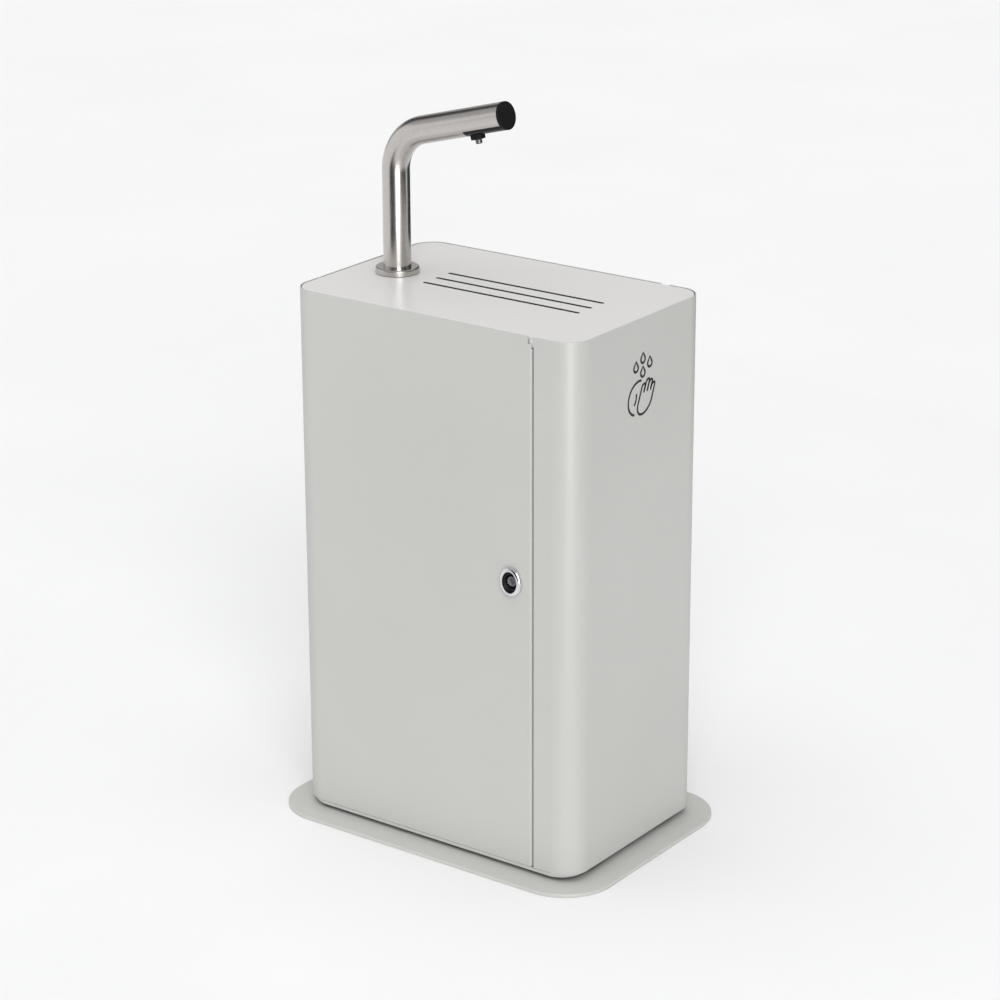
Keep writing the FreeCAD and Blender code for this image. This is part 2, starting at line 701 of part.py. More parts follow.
def tap_parts():
    flange = new_body("tap_flange")
    sketch = new_sketch(flange, "XZ_Plane")
    outer, tall = S["flange_radius"], S["flange_height"]
    polygon(sketch, [(S["tap_radius"] + 0.1, 0.8), (outer, 0.8), (outer, tall), (S["tap_radius"] + 0.1,
                                                                                 tall)])
    revolve(flange, sketch)
    soften(flange, 2.6, lambda edge: at_level(edge, tall) and edge.BoundBox.XLength > 2 * outer.value - 1)
    place(flange, tap_x, tap_y, S["height"] - S["plate_drop"])
    gasket = new_body("tap_gasket")
    sketch = new_sketch(gasket)
    circle(sketch, 0, 0, S["flange_radius"] - 1)
    circle(sketch, 0, 0, 15.2)
    pad(gasket, sketch, 0.8)
    place(gasket, tap_x, tap_y, S["height"] - S["plate_drop"])
    shank = new_body("tap_shank")
    sketch = new_sketch(shank, "XZ_Plane")
    polygon(sketch, [(6, -62), (9, -62), (9, -50), (15, -50), (15, 0.4),
                     (S["tap_radius"] - S["tap_wall"] - 0.1, 0.4),
                     (S["tap_radius"] - S["tap_wall"] - 0.1, 14), (6, 14)])
    revolve(shank, sketch)
    place(shank, tap_x, tap_y, S["height"])
    washer = new_body("tap_washer")
    sketch = new_sketch(washer)
    circle(sketch, 0, 0, 27)
    circle(sketch, 0, 0, 15.2)
    pad(washer, sketch, 3, back=True)
    place(washer, tap_x, tap_y, top_under)
    nut = doc.addObject("Part::Prism", "tap_nut_blank")
    nut.Polygon = 6
    bind(nut, "Circumradius", 24)
    bind(nut, "Height", 10)
    place(nut, tap_x, tap_y, top_under - 13)
    bore = cylinder(tap_x, tap_y, top_under - 14, 15.05, 12, "tap_nut_bore")
    keep(cut(nut, bore, "tap_nut"), "tap_nut")
    cap = new_body("tap_end_cap")
    sketch = new_sketch(cap, "XZ_Plane")
    inside = S["tap_radius"] - S["tap_wall"] - 0.1
    polygon(sketch, [(0, -14), (9.2, -14), (9.2, 0.1), (S["tap_radius"], 0.1), (S["tap_radius"], cap_thick),
                     (0, cap_thick)])
    revolve(cap, sketch)
    soften(cap, 0.8, lambda edge: at_level(edge, cap_thick) and edge.BoundBox.XLength > inside.value)
    on_spout(cap)
    block = new_body("nozzle_block")
    sketch = new_sketch(block, offset=seat_out + 0.1)
    rectangle(sketch, -nozzle_length / 2, -nozzle_width / 2, nozzle_length / 2, nozzle_width / 2)
    circle(sketch, 0, 0, 5.2)
    pad(block, sketch, 10.3)
    soften_corners(block, 3, [(a * nozzle_length / 2, b * nozzle_width / 2) for a in (-1, 1) for b in (-1,
                                                                                                       1)])
    soften(block, 1.2, lambda edge: at_level(edge, 27.4) and edge.BoundBox.DiagonalLength > 14.8 or (
        at_level(edge, 27.4) and abs(edge.BoundBox.XMin) > 9))
    beside_spout(block, nozzle_back, 0)
    nozzle = new_body("tap_nozzle")
    sketch = new_sketch(nozzle, "XZ_Plane")
    polygon(sketch, [(3, 12), (5, 12), (5, 33), (4, 34), (3, 34)])
    revolve(nozzle, sketch)
    beside_spout(nozzle, nozzle_back, 0)


# ---------------------------------------------------------------- door, hinges and lock

def door_panel():
    """One folded sheet that wraps the left front corner, with returns along its other three edges."""
    body = new_body("door_panel")
    z0 = S["body_bottom"]
    sketch = new_sketch(body, offset=z0)
    back = front + S["door_return"]
    outline = [(door_edge, front), (-half_w, front), (-half_w, door_seam), (wall - half_w, door_seam),
               (wall - half_w, inner_front), (door_edge - wall, inner_front), (door_edge - wall, back),
               (door_edge, back)]
    polygon(sketch, outline)
    pad(body, sketch, S["height"] - z0)
    soften_corners(body, S["corner"], [(-half_w, front)])
    soften_corners(body, inner_corner, [(wall - half_w, inner_front)])
    soften_corners(body, S["door_bend"], [(door_edge, front)])
    soften_corners(body, S["door_bend"] - wall, [(door_edge - wall, inner_front)])
    for level in (z0, S["height"] - 26):
        sketch = new_sketch(body, offset=level)
        rectangle(sketch, S["corner"] - half_w, inner_front - 0.5, door_edge - wall + 0.5, back)
        pad(body, sketch, wall)
    # The free edge's return stops under the top plate.
    sketch = new_sketch(body, offset=return_top)
    rectangle(sketch, door_edge - 9, inner_front, door_edge + 1, back + 1)
    pocket(body, sketch, 30, back=True)
    # The hole for the lock, and the small relief at the top of the free edge.
    sketch = new_sketch(body, "XZ_Plane", offset=half_d + 1)
    circle(sketch, S["lock_x"], S["lock_z"], 12.6)
    pocket(body, sketch, 6)
    sketch = new_sketch(body, "XZ_Plane", offset=half_d + 1)
    rectangle(sketch, door_edge - 6.8, S["height"] - 11, door_edge + 1, S["height"] - 3)
    pocket(body, sketch, 8)
    sketch = new_sketch(body, "YZ_Plane", offset=-half_w - 1)
    for level in hinge_levels:
        for step in hinge_screw_rise:
            circle(sketch, seam - leaf_hole_reach, level + step, rivet_radius)
    pocket(body, sketch, wall + 2, back=True)


def door_stiffener():
    """A hat-section channel bonded down the middle of the door."""
    body = new_body("door_stiffener")
    x, y = -30, inner_front
    sketch = new_sketch(body, offset=60)
    polygon(sketch, [(x - 40, y), (x - 23, y), (x - 23, y + 14), (x + 23, y + 14), (x + 23, y), (x + 40, y),
                     (x + 40, y + 1.2), (x + 24.2, y + 1.2), (x + 24.2, y + 15.2), (x - 24.2, y + 15.2),
                     (x - 24.2, y + 1.2), (x - 40, y + 1.2)])
    pad(body, sketch, S["height"] - 130)


def door_bumpers():
    """Rubber buffers on the rebate that the closed door's return rests against."""
    made = []
    for level in (90, 300, 620, 780):
        x = door_edge - wall / 2
        made.append(cylinder(x, front + 20, level, 3.4, 1.6, "bumper", (1, 0, 0), 90))
    keep(group(made, "door_bumpers"), "door_bumpers")


def hinge(name, level):
    """A surface hinge: two leaves riveted to the outside, and a headed pin through three knuckles."""
    knuckle = S["knuckle_radius"]
    axis_x = -half_w - knuckle - 0.3
    third = S["hinge_height"] / 3
    bore = cylinder(axis_x, seam, level - 1, S["pin_radius"] + 0.05, S["hinge_height"] + 2, "hinge_bore")
    for side, label, knuckles in ((1, "hinge_frame_leaf_", (0, 2)), (-1, "hinge_door_leaf_", (1,))):
        near, far = sorted([(seam + 5 * side).value, (seam + 29 * side).value])
        parts = [box(-half_w - 2, near, level, -half_w, far, level + S["hinge_height"], "leaf_plate")]
        for place_in_row in knuckles:
            z = level + third * place_in_row + 0.15
            parts.append(cylinder(axis_x, seam, z, knuckle, third - 0.3, "knuckle"))
            tab = sorted([(seam + 1 * side).value, (seam + 6 * side).value])
            parts.append(box(-half_w - 2, tab[0], z, -half_w - 0.4, tab[1], z + third - 0.3, "leaf_tab"))
        blank = fuse(parts, "leaf_blank")
        holes = [cylinder(-half_w - 4, seam + leaf_hole_reach * side, level + step, rivet_radius, 6,
                          "leaf_hole", (0, 1, 0), 90) for step in hinge_screw_rise]
        tool = group(holes + [bore], "leaf_cutter")
        keep(cut(blank, tool, label + name), label + name)
    shaft = cylinder(axis_x, seam, level, S["pin_radius"], S["hinge_height"], "pin_shaft")
    head = cylinder(axis_x, seam, level + S["hinge_height"], 3.6, 1.6, "pin_head")
    return fuse([shaft, head], "hinge_pin")


def hinge_rivets():
    for side, label in ((1, "frame_rivets"), (-1, "door_rivets")):
        made = []
        for level in hinge_levels:
            for step in hinge_screw_rise:
                y, z = seam + leaf_hole_reach * side, level + step
                shank = cylinder(-half_w - 2, y, z, rivet_radius, 4.5, "rivet_shank", (0, 1, 0), 90)
                head = cylinder(-half_w - 3.4, y, z, 3.6, 1.4, "rivet_head", (0, 1, 0), 90)
                tail = cylinder(wall - half_w, y, z, 3, 1, "rivet_tail", (0, 1, 0), 90)
                made.append(fuse([shank, head, tail], "rivet"))
        keep(group(made, label), label)


def on_lock(thing):
    """Place a thing on the lock's axis: its own +Z points out of the door and its +Y points up."""
    return place(thing, S["lock_x"], -half_d, S["lock_z"], (1, 0, 0), 90)


def lock_parts():
    tall, wide, proud = S["lock_height"] / 2, S["lock_width"] / 2, S["lock_proud"]
    bezel = new_body("lock_bezel")
    sketch = new_sketch(bezel)
    ellipse(sketch, tall, wide)
    pad(bezel, sketch, proud)
    sketch = new_sketch(bezel)
    ellipse(sketch, 16.8, 13)
    pocket(bezel, sketch, proud, back=True)
    soften(bezel, 4.6, lambda edge: at_level(edge, proud) and edge.BoundBox.XLength > 30)
    on_lock(bezel)
    cup = new_body("lock_cup")
    sketch = new_sketch(cup)
    ellipse(sketch, 16.6, 12.8)
    pad(cup, sketch, 1.2)
    sketch = new_sketch(cup)
    circle(sketch, 0, 0, 12.5)
    pad(cup, sketch, 20, back=True)
    sketch = new_sketch(cup, offset=1.2)
    circle(sketch, 0, 0, 11)
    pocket(cup, sketch, 8)
    sketch = new_sketch(cup)
    circle(sketch, 0, 0, S["plug_radius"] + 0.06)
    pocket(cup, sketch, 25)
    on_lock(cup)
    plug = new_body("lock_plug")
    sketch = new_sketch(plug, offset=-31)
    circle(sketch, 0, 0, S["plug_radius"])
    pad(plug, sketch, 31.5)
    sketch = new_sketch(plug, offset=0.5)
    side = 5.2
    polygon(sketch, [(0, side), (-side * 0.866, -side / 2), (side * 0.866, -side / 2)])
    pad(plug, sketch, 4.5)
    on_lock(plug)
    nut = doc.addObject("Part::Prism", "lock_nut_blank")
    nut.Polygon = 6
    bind(nut, "Circumradius", 18)
    bind(nut, "Height", 5)
    place(nut, S["lock_x"], inner_front + 5, S["lock_z"], (1, 0, 0), 90)
    bore = cylinder(S["lock_x"], inner_front + 6, S["lock_z"], 12.55, 8, "lock_nut_bore", (1, 0, 0), 90)
    keep(cut(nut, bore, "lock_nut"), "lock_nut")
    cam = new_body("lock_cam")
    sketch = new_sketch(cam, offset=-27)
    rectangle(sketch, -9, -10, 9, 44)
    pad(cam, sketch, 2.5)
    soften_corners(cam, 8.5, [(-9, -10), (9, -10)])
    soften_corners(cam, 4, [(-9, 44), (9, 44)])
    sketch = new_sketch(cam, offset=-27)
    circle(sketch, 0, 0, S["plug_radius"] + 0.02)
    pocket(cam, sketch, 4, back=True)
    on_lock(cam)
    ring = new_body("cam_screw")
    sketch = new_sketch(ring, offset=-31)
    circle(sketch, 0, 0, 8.6)
    pad(ring, sketch, 2.5, back=True)
    on_lock(ring)
    keeper = box(strip_edge - 17.5, front + 20 + wall, S["lock_z"] - 22, strip_edge + 12,
                 front + 20 + wall + 2, S["lock_z"] + 22, "lock_keeper")
    keep(keeper, "lock_keeper")


# ---------------------------------------------------------------- water system

fresh_x, waste_x = -136, 60
tank_z = tray_top
tank_top = tank_z + S["tank_height"]
neck_y = -78


def tank(label, x, bore, bore_depth):
    """A canister with a carrying grip through its top and a bored neck at the front."""
    body = new_body(label)
    half_x, y0 = S["tank_width"] / 2, -128
    y1 = S["tank_depth"] + y0
    sketch = new_sketch(body)
    rectangle(sketch, -half_x, y0, half_x, y1)
    pad(body, sketch, S["tank_height"])
    sketch = new_sketch(body, offset=S["tank_height"])
    rectangle(sketch, -36, -20, 36, 100)
    pocket(body, sketch, 48)
    soften_corners(body, 12, [(a, b) for a in (-36, 36) for b in (-20, 100)])
    sketch = new_sketch(body, "XZ_Plane", offset=20)
    rectangle(sketch, -11, S["tank_height"] - 20, 11, S["tank_height"])
    pad(body, sketch, 120, back=True)
    soften_corners(body, 24, [(a, b) for a in (-half_x, half_x) for b in (y0, y1)])
    soften(body, 10, lambda edge: at_level(edge, 0))
    sketch = new_sketch(body, offset=S["tank_height"])
    circle(sketch, 0, neck_y, S["neck_radius"])
    pad(body, sketch, 22)
    sketch = new_sketch(body, offset=S["tank_height"] + 22)
    circle(sketch, 0, neck_y, bore)
    pocket(body, sketch, bore_depth)
    place(body, x, 0, tank_z)


def caps():
    for label, x in (("fresh_cap", fresh_x), ("waste_cap", waste_x)):
        cap = new_body(label)
        sketch = new_sketch(cap, "XZ_Plane")
        outer = S["neck_radius"] + 4
        bore = 6.1 if label == "fresh_cap" else 12.6
        polygon(sketch, [(bore, 22.5), (S["neck_radius"] + 0.3, 22.5), (S["neck_radius"] + 0.3, 2), (outer,
                                                                                                     2),
                         (outer, 26), (bore, 26)])
        revolve(cap, sketch)
        soften(cap, 1.5, lambda edge: at_level(edge, 26) and edge.BoundBox.XLength > 40)
        place(cap, x, neck_y, tank_top)



def suction_lance():
    """The stiff pick-up tube that hangs through the fresh cap, with a slotted foot."""
    body = new_body("suction_lance")
    sketch = new_sketch(body, "XZ_Plane")
    polygon(sketch, [(3.5, 40), (6, 40), (6, 27), (9, 27), (9, 26.1), (6, 26.1), (6, -340), (3.5, -340)])
    revolve(body, sketch)
    place(body, fresh_x, neck_y, tank_top)


pump_x, pump_y = -136, 80
pump_z = S["shelf_level"] + 12


def pump():
    """A small diaphragm pump: head with two ports, motor, and a foot plate on rubber grommets."""
    head = new_body("pump_head")
    sketch = new_sketch(head)
    rectangle(sketch, -34, -32, 34, 32)
    pad(head, sketch, 62)
    soften_corners(head, 8, [(a, b) for a in (-34, 34) for b in (-32, 32)])
    soften(head, 3, lambda edge: at_level(edge, 62))
    sketch = new_sketch(head, "XZ_Plane", offset=31)
    circle(sketch, 0, 26, 6)
    circle(sketch, 0, 26, 3.5)
    pad(head, sketch, 25)
    sketch = new_sketch(head, offset=61)
    circle(sketch, 0, 0, 6)
    circle(sketch, 0, 0, 3.5)
    pad(head, sketch, 22)
    place(head, pump_x, pump_y, pump_z)
    motor = new_body("pump_motor")
    sketch = new_sketch(motor, "YZ_Plane", offset=34)
    circle(sketch, 0, 30, 27)
    pad(motor, sketch, 92)
    soften(motor, 4, lambda edge: abs(edge.BoundBox.XMin - 126) < 0.01 and edge.BoundBox.YLength > 40)
    place(motor, pump_x, pump_y, pump_z)
    foot = new_body("pump_foot")
    sketch = new_sketch(foot, offset=-3)
    rectangle(sketch, -34, -45, 120, 45)
    pad(foot, sketch, 3)
    soften_corners(foot, 8, [(a, b) for a in (-34, 120) for b in (-45, 45)])
    sketch = new_sketch(foot)
    rectangle(sketch, 52, -16, 112, 16)
    pad(foot, sketch, 3)
    place(foot, pump_x, pump_y, pump_z)
    grommets = []
    for x in (-24, 110):
        for y in (-38, 38):
            grommets.append(cylinder(pump_x + x, pump_y + y, S["shelf_level"], 6.5, 9, "grommet"))
    keep(group(grommets, "pump_grommets"), "pump_grommets")


def cased(label, x, y, z, length, depth, height, radius):
    """A plain moulded case with rounded corners and a softened top."""
    body = new_body(label)
    sketch = new_sketch(body)
    rectangle(sketch, 0, 0, length, depth)
    pad(body, sketch, height)
    soften_corners(body, radius, [(a, b) for a in (0, length) for b in (0, depth)])
    soften(body, radius / 2, lambda edge: at_level(edge, height))
    place(body, x, y, z)


def electrics():
    level = S["shelf_level"]
    cased("battery", 60, 20, level, 160, 95, 92, 6)
    cased("battery_lid", 58, 18, level + 92, 164, 99, 14, 6)
    terminals = []
    for x in (90, 190):
        terminals.append(cylinder(x, 67, level + 106, 6, 9, "terminal"))
    keep(group(terminals, "battery_terminals"), "battery_terminals")
    rear = half_d - wall
    control = new_body("control_box")
    sketch = new_sketch(control, "XZ_Plane", offset=-rear)
    rectangle(sketch, -20, 640, 130, 740)
    pad(control, sketch, 44)
    cover = new_body("control_cover")
    sketch = new_sketch(cover, "XZ_Plane", offset=44 - rear)
    rectangle(sketch, -23, 637, 133, 743)
    pad(cover, sketch, 8)
    soften(cover, 6, lambda edge: abs(edge.BoundBox.YLength - 8) < 0.01)


def hoses():
    suction_start = (fresh_x, neck_y, tank_top + 40)
    over_shelf = S["shelf_level"] + 38
    inlet = pump_y - 56
    hose([suction_start, (fresh_x, neck_y, over_shelf), (fresh_x, inlet, over_shelf)],
         S["hose_radius"] + 1, S["hose_radius"] - 2, "suction_hose")
    outlet_z = pump_z + 83
    hose([(pump_x, pump_y, outlet_z), (pump_x, pump_y, outlet_z + 62), (tap_x, tap_y, S["height"] - 124),
          (tap_x, tap_y, S["height"] - 62)], S["hose_radius"] + 1, S["hose_radius"] - 2, "delivery_hose")
    spigot_end = top_under - 99
    hose([(S["drain_centre"], 0, spigot_end), (S["drain_centre"], 0, spigot_end - 90),
          (waste_x, neck_y, S["shelf_level"] + 110), (waste_x, neck_y, tank_top - 10)],
         S["drain_hose_radius"] - 3.5, S["drain_hose_radius"] - 6, "drain_hose")


base_plate()
spacer_bars()
bottom_tray()
base_fasteners()
cabinet_shell()
hinge_post()
door_jamb()
header_rail()
shell_brackets()
equipment_shelf()
top_plate()
drain_basin()
drain_parts()
tap_tube()
sensor_panel()
tap_parts()
door_panel()
door_stiffener()
door_bumpers()
pins = [hinge(name, level) for name, level in zip(("lower", "upper"), hinge_levels)]
keep(group(pins, "hinge_pins"), "hinge_pins")
hinge_rivets()
lock_parts()
tank("fresh_tank", fresh_x, 6.3, 385)
tank("waste_tank", waste_x, 12.7, 60)
caps()
suction_lance()
pump()
electrics()
hoses()

doc.recompute()
for thing in doc.Objects:
    if "Invalid" in thing.State or "Error" in thing.State:
        raise RuntimeError("%s failed: %s" % (thing.Label, thing.State))
os.makedirs("parts", exist_ok=True)
for node in nodes:
    shape = node.Shape
    if shape.isNull() or not shape.isValid() or not shape.Solids:
        raise RuntimeError("%s has no valid solid" % node.Label)
for node in nodes:
    node.Shape.exportStep("parts/%s.step" % node.Label)
print("%d nodes written" % len(nodes))
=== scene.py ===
import json
import math

import bmesh
import bpy
from mathutils import Matrix, Vector


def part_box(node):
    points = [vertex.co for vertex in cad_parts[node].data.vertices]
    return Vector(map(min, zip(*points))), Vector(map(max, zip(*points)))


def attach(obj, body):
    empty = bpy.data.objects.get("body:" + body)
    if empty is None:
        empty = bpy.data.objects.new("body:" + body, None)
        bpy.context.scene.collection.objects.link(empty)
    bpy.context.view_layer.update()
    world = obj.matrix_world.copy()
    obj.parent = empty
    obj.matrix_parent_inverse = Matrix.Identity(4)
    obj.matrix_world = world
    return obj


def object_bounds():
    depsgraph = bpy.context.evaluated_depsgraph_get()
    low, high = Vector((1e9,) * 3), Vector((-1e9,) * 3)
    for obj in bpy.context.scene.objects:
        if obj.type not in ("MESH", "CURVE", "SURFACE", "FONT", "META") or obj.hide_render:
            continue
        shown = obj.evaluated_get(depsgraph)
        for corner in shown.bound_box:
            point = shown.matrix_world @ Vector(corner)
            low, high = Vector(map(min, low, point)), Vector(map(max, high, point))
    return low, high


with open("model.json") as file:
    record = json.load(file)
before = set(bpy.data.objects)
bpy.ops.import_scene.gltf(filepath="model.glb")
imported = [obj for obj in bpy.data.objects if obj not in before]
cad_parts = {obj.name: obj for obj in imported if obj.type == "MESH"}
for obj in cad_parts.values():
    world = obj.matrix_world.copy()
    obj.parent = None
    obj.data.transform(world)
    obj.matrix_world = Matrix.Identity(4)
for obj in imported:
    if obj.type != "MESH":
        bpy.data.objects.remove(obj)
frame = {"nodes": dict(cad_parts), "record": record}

cad_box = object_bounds()
nodes = frame["nodes"]
scene = bpy.context.scene
scene.view_settings.view_transform = "Standard"
scene.view_settings.look = "None"
MM = 0.001


# ---------------------------------------------------------------- node helpers

class Graph:
    """A small helper that builds one node material."""

    def __init__(self, name):
        self.material = bpy.data.materials.new(name)
        self.material.use_nodes = True
        self.tree = self.material.node_tree
        self.shader = self.tree.nodes["Principled BSDF"]
        self.place = self.add("ShaderNodeTexCoord").outputs["Object"]

    def add(self, kind, **values):
        node = self.tree.nodes.new(kind)
        for key, value in values.items():
            setattr(node, key, value)
        return node

    def link(self, source, target):
        self.tree.links.new(source, target)

    def stretched(self, scale):
        mapping = self.add("ShaderNodeMapping")
        mapping.inputs["Scale"].default_value = scale
        self.link(self.place, mapping.inputs["Vector"])
        return mapping.outputs["Vector"]

    def noise(self, scale, detail=3.0, rough=0.55, stretch=None):
        node = self.add("ShaderNodeTexNoise")
        node.inputs["Scale"].default_value = scale
        node.inputs["Detail"].default_value = detail
        node.inputs["Roughness"].default_value = rough
        self.link(self.stretched(stretch) if stretch else self.place, node.inputs["Vector"])
        return node.outputs["Fac"]

    def ramp(self, source, low, high, at=(0.3, 0.7)):
        """Maps a factor between two values, numbers or colours."""
        node = self.add("ShaderNodeValToRGB")
        first, second = node.color_ramp.elements
        first.position, second.position = at
        first.color = (low, low, low, 1) if isinstance(low, (int, float)) else (*low, 1)
        second.color = (high, high, high, 1) if isinstance(high, (int, float)) else (*high, 1)
        self.link(source, node.inputs["Fac"])
        return node.outputs["Color"]

    def mix(self, factor, low, high):
        node = self.add("ShaderNodeMix", data_type="RGBA")
        self.link(factor, node.inputs["Factor"])
        for value, slot in ((low, "A"), (high, "B")):
            target = [i for i in node.inputs if i.name == slot and i.type == "RGBA"][0]
            if isinstance(value, tuple):
                target.default_value = (*value, 1)
            else:
                self.link(value, target)
        return [o for o in node.outputs if o.type == "RGBA"][0]

    def bump(self, source, distance, strength, after=None):
        node = self.add("ShaderNodeBump")
        node.inputs["Strength"].default_value = strength
        node.inputs["Distance"].default_value = distance
        self.link(source, node.inputs["Height"])
        if after is not None:
            self.link(after, node.inputs["Normal"])
        return node.outputs["Normal"]

    def painted_crevice_shade(self, colour, dark, reach=0.012):
        """Paints shade into a colour where surfaces close in on each other: painted shade in seams and
        gaps.
        """
        # Ambient occlusion sets the painted shade: the closer the surfaces, the darker the colour.
        node = self.add("ShaderNodeAmbientOcclusion", samples=8)
        node.inputs["Distance"].default_value = reach
        open_part = self.ramp(node.outputs["AO"], 0.0, 1.0, (0.12, 0.5))
        return self.mix(open_part, dark, colour)

    def math(self, operation, first, second):
        """A math node's output from a socket and a socket or number."""
        node = self.add("ShaderNodeMath", operation=operation)
        self.link(first, node.inputs[0])
        if isinstance(second, (int, float)):
            node.inputs[1].default_value = second
        else:
            self.link(second, node.inputs[1])
        return node.outputs[0]

    def finish(self, colour, roughness, normal=None, **constants):
        """Feeds the shader's main sockets, and sets the other named ones to constants."""
        for source, socket in ((colour, "Base Color"), (roughness, "Roughness"), (normal, "Normal")):
            if source is None:
                continue
            if isinstance(source, (int, float)):
                self.shader.inputs[socket].default_value = source
            else:
                self.link(source, self.shader.inputs[socket])
        for socket, value in constants.items():
            self.shader.inputs[socket.replace("_", " ")].default_value = value
        return self.material


def shade(colour, factor):
    return tuple(min(1.0, channel * factor) for channel in colour)


# ---------------------------------------------------------------- materials

def slot_shade_mask(g):
    """1 on the upright walls of the drain slots, which get painted shade, nearly black."""
    openings = frame["record"]["physics"]["openings"]
    slots = [row["box_m"] for row in openings if row["name"].startswith("drain_slot")]
    margin, upright = 0.012, 0.5
    low = [min(box[0][axis] for box in slots) - margin for axis in (0, 1)]
    high = [max(box[1][axis] for box in slots) + margin for axis in (0, 1)]
    parts = g.add("ShaderNodeSeparateXYZ")
    g.link(g.place, parts.inputs[0])
    normal = g.add("ShaderNodeSeparateXYZ")
    g.link(g.add("ShaderNodeNewGeometry").outputs["True Normal"], normal.inputs[0])
    tests = [g.math("LESS_THAN", normal.outputs["Z"], upright)]
    for axis, name in ((0, "X"), (1, "Y")):
        tests.append(g.math("GREATER_THAN", parts.outputs[name], low[axis]))
        tests.append(g.math("LESS_THAN", parts.outputs[name], high[axis]))
    inside = tests[0]
    for test in tests[1:]:
        inside = g.math("MULTIPLY", inside, test)
    return inside


def powder_coat(name, colour, roughness, peel=0.00003, slots=False):
    """Baked powder paint: orange peel, slow colour drift, fine specks, and painted shade in the seams."""
    g = Graph(name)
    drift = g.ramp(g.noise(2.2, 2.0), shade(colour, 0.975), shade(colour, 1.02))
    speck = g.ramp(g.noise(420, 2.0), 0.0, 1.0, (0.62, 0.78))
    tinted = g.mix(speck, drift, shade(colour, 0.93))
    smear = g.noise(9, 4.0, 0.6, (1.0, 1.0, 0.35))
    rough = g.ramp(smear, roughness - 0.035, roughness + 0.05, (0.25, 0.75))
    peeled = g.bump(g.noise(850, 2.0, 0.5), peel, 0.45)
    waved = g.bump(g.noise(38, 1.0, 0.4), 0.00006, 0.10, peeled)
    # Painted shade: the colour darkens to 16 % of itself in seams and gaps.
    seam_shaded = g.painted_crevice_shade(tinted, shade(colour, 0.16))
    if slots:
        # Painted shade: the walls of the drain slots are coloured nearly black.
        slot_shade_colour = (0.035, 0.034, 0.033)
        seam_shaded = g.mix(slot_shade_mask(g), seam_shaded, slot_shade_colour)
    return g.finish(seam_shaded, rough, waved, Specular_IOR_Level=0.5)


def brushed(name, colour, roughness, stretch, scale=900):
    """Brushed metal: long fine lines along one way, with brighter and duller patches."""
    g = Graph(name)
    lines = g.noise(scale, 4.0, 0.65, stretch)
    patch = g.noise(14, 3.0, 0.6)
    tone = g.ramp(lines, shade(colour, 0.95), shade(colour, 1.03), (0.3, 0.7))
    rough_lines = g.ramp(lines, roughness - 0.03, roughness + 0.04, (0.3, 0.7))
    rough = g.mix(g.ramp(patch, 0.0, 0.3), rough_lines, (roughness + 0.04,) * 3)
    return g.finish(tone, rough, g.bump(lines, 0.000004, 0.15), Metallic=1.0)


def plain_metal(name, colour, roughness):
    """Turned, plated or polished metal, with a fine even grain."""
    g = Graph(name)
    tone = g.ramp(g.noise(60, 4.0, 0.6), shade(colour, 0.88), shade(colour, 1.05))
    rough = g.ramp(g.noise(160, 3.0), roughness - 0.06, roughness + 0.1)
    return g.finish(tone, rough, g.bump(g.noise(500, 2.0), 0.00002, 0.25), Metallic=1.0)


def moulded(name, colour, roughness, grain=0.00004, scale=1400, transmission=0.0, gloss=0.5):
    """Moulded plastic or rubber: fine spark texture, with handling marks in the gloss."""
    g = Graph(name)
    tone = g.ramp(g.noise(14, 2.0), shade(colour, 0.975), shade(colour, 1.02))
    rough = g.ramp(g.noise(22, 4.0, 0.65), roughness - 0.03, roughness + 0.05)
    return g.finish(tone, rough, g.bump(g.noise(scale, 2.0, 0.6), grain, 0.4),
                    Transmission_Weight=transmission, Specular_IOR_Level=gloss)


def build_materials():
    """One material for every slot of the record, and a few that only the visual model uses."""
    body = (0.52, 0.52, 0.50)
    return {
        "body_paint": powder_coat("body_paint", body, 0.40),
        "top_paint": powder_coat("top_paint", (0.68, 0.67, 0.655), 0.30, slots=True),
        "base_paint": powder_coat("base_paint", (0.535, 0.535, 0.512), 0.42),
        # inner_paint is the body paint made 3 % darker: painted shade for the parts inside the cabinet.
        "inner_paint": powder_coat("inner_paint", shade(body, 0.97), 0.5),
        "stainless": brushed("stainless", (0.57, 0.545, 0.525), 0.24, (1.0, 1.0, 0.02)),
        "sheet_steel": brushed("sheet_steel", (0.24, 0.24, 0.24), 0.36, (0.03, 1.0, 1.0), 600),
        "chrome": plain_metal("chrome", (0.72, 0.72, 0.74), 0.09),
        "zinc_steel": plain_metal("zinc_steel", (0.52, 0.54, 0.56), 0.34),
        "dark_steel": plain_metal("dark_steel", (0.20, 0.20, 0.21), 0.38),
        "brass": plain_metal("brass", (0.62, 0.45, 0.20), 0.3),
        "black_plastic": moulded("black_plastic", (0.010, 0.010, 0.0105), 0.42, gloss=0.12),
        "gloss_black": moulded("gloss_black", (0.007, 0.007, 0.008), 0.2, 0.00001, gloss=0.15),
        "black_rubber": moulded("black_rubber", (0.018, 0.018, 0.018), 0.65, 0.00006, 900),
        "tank_plastic": moulded("tank_plastic", (0.62, 0.66, 0.66), 0.42, 0.00008, 500),
        "tank_grey": moulded("tank_grey", (0.17, 0.19, 0.21), 0.45, 0.00006, 700),
        "case_grey": moulded("case_grey", (0.30, 0.31, 0.32), 0.45, 0.00006, 900),
        "cap_blue": moulded("cap_blue", (0.02, 0.08, 0.30), 0.38),
        "clear_hose": moulded("clear_hose", (0.52, 0.58, 0.60), 0.22, 0.00001, 300, 0.25),
        "print_black": moulded("print_black", (0.010, 0.010, 0.010), 0.5, 0.00001),
    }


